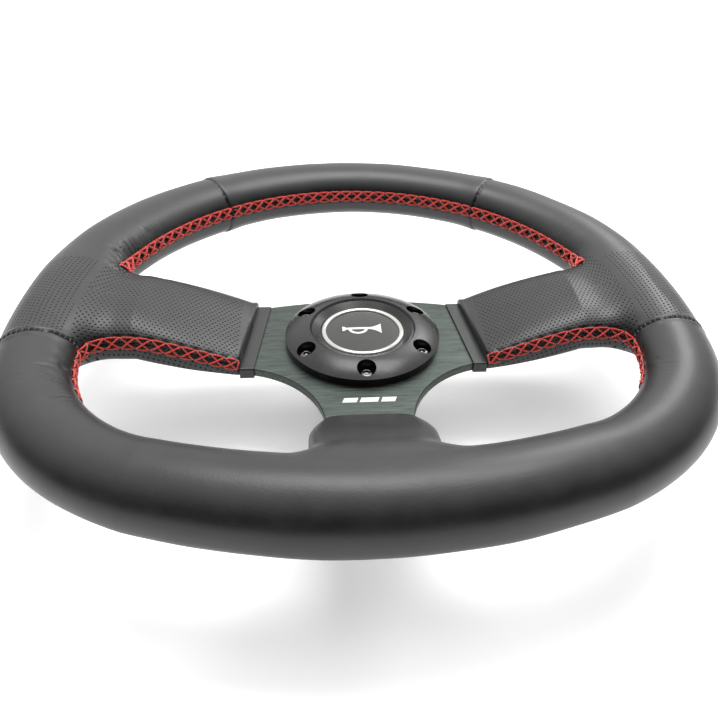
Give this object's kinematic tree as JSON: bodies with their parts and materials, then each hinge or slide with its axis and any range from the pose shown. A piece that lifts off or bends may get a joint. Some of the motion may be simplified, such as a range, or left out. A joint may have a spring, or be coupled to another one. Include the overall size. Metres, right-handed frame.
{
  "type": "quick release steering wheel",
  "caption": "Flat-bottomed leather racing steering wheel with padded spokes, red cross stitching, a horn button and a quick release socket.",
  "frame": {"origin": "on the steering axis, at the end face of the quick release socket where it seats on the column", "axes": "+Z along the steering axis towards the driver, +Y towards twelve o'clock, +X to the driver's right"},
  "size_m": [0.348, 0.337, 0.0831],
  "materials": {
    "black_anodised": "brushed, anodised black with a green-grey cast",
    "steel": "plain",
    "moulded_foam": "moulded polyurethane foam",
    "smooth_leather": "smooth black leather, soft sheen",
    "perforated_leather": "black leather, perforated over the grip and spoke",
    "red_thread": "twisted red thread",
    "satin_black_metal": "satin black",
    "screw_steel": "bright zinc",
    "black_plastic": "semi-gloss moulded",
    "chrome": "polished",
    "emblem_face": "dark metallic face under clear lacquer, horn sign",
    "grey_plastic": "insulating plastic",
    "brass": "plain",
    "spring_steel": "spring wire",
    "machined_aluminium": "machined",
    "collar_anodised": "anodised black, fine turned",
    "ball_steel": "hardened, polished",
    "rubber": "nitrile"
  },
  "bodies": {
    "wheel": {"spoke_plate": "black_anodised", "rim_ring": "steel", "ring_rivets": "steel", "rim_foam": "moulded_foam", "top_leather": "smooth_leather", "left_grip_leather": "perforated_leather", "right_grip_leather": "perforated_leather", "bottom_leather": "smooth_leather", "upper_stitching": "red_thread", "left_stitching": "red_thread", "right_stitching": "red_thread", "left_hem_band": "smooth_leather", "right_hem_band": "smooth_leather", "trim_ring": "satin_black_metal", "hub_screws": "screw_steel", "horn_housing": "black_plastic", "horn_base": "grey_plastic", "horn_fixed_contact": "brass", "horn_terminals": "brass", "horn_spring": "spring_steel", "release_socket": "machined_aluminium", "collar_snap_ring": "spring_steel", "collar_spring": "spring_steel", "socket_o_ring": "rubber"},
    "horn_button": {"horn_cap": "black_plastic", "horn_cap_ring": "chrome", "horn_emblem": "emblem_face", "horn_moving_contact": "brass"},
    "collar": {"release_collar": "collar_anodised"},
    "ball_1": {"lock_ball_1": "ball_steel"},
    "ball_2": {"lock_ball_2": "ball_steel"},
    "ball_3": {"lock_ball_3": "ball_steel"},
    "ball_4": {"lock_ball_4": "ball_steel"},
    "ball_5": {"lock_ball_5": "ball_steel"},
    "ball_6": {"lock_ball_6": "ball_steel"}
  },
  "joints": [
    {"name": "horn_press", "type": "slide", "parent": "wheel", "child": "horn_button", "axis": [0, 0, -1], "range_m": [0, 0.002], "stiffness_N_per_m": 2500, "springref_m": -0.002, "deforming": ["horn_spring"]},
    {"name": "collar_slide", "type": "slide", "parent": "wheel", "child": "collar", "axis": [0, 0, 1], "range_m": [0, 0.006], "stiffness_N_per_m": 2500, "springref_m": -0.006, "deforming": ["collar_spring"]},
    {"name": "ball_1_retract", "type": "slide", "parent": "wheel", "child": "ball_1", "axis": [0.5, 0.866, 0], "range_m": [0, 0.0012]},
    {"name": "ball_2_retract", "type": "slide", "parent": "wheel", "child": "ball_2", "axis": [1, 0, 0], "range_m": [0, 0.0012]},
    {"name": "ball_3_retract", "type": "slide", "parent": "wheel", "child": "ball_3", "axis": [0.5, -0.866, 0], "range_m": [0, 0.0012]},
    {"name": "ball_4_retract", "type": "slide", "parent": "wheel", "child": "ball_4", "axis": [-0.5, -0.866, 0], "range_m": [0, 0.0012]},
    {"name": "ball_5_retract", "type": "slide", "parent": "wheel", "child": "ball_5", "axis": [-1, 0, 0], "range_m": [0, 0.0012]},
    {"name": "ball_6_retract", "type": "slide", "parent": "wheel", "child": "ball_6", "axis": [-0.5, 0.866, 0], "range_m": [0, 0.0012]}
  ],
  "couplings": [
    {"joint": "ball_1_retract", "follows": "collar_slide", "ratio": 0.2},
    {"joint": "ball_2_retract", "follows": "collar_slide", "ratio": 0.2},
    {"joint": "ball_3_retract", "follows": "collar_slide", "ratio": 0.2},
    {"joint": "ball_4_retract", "follows": "collar_slide", "ratio": 0.2},
    {"joint": "ball_5_retract", "follows": "collar_slide", "ratio": 0.2},
    {"joint": "ball_6_retract", "follows": "collar_slide", "ratio": 0.2}
  ]
}
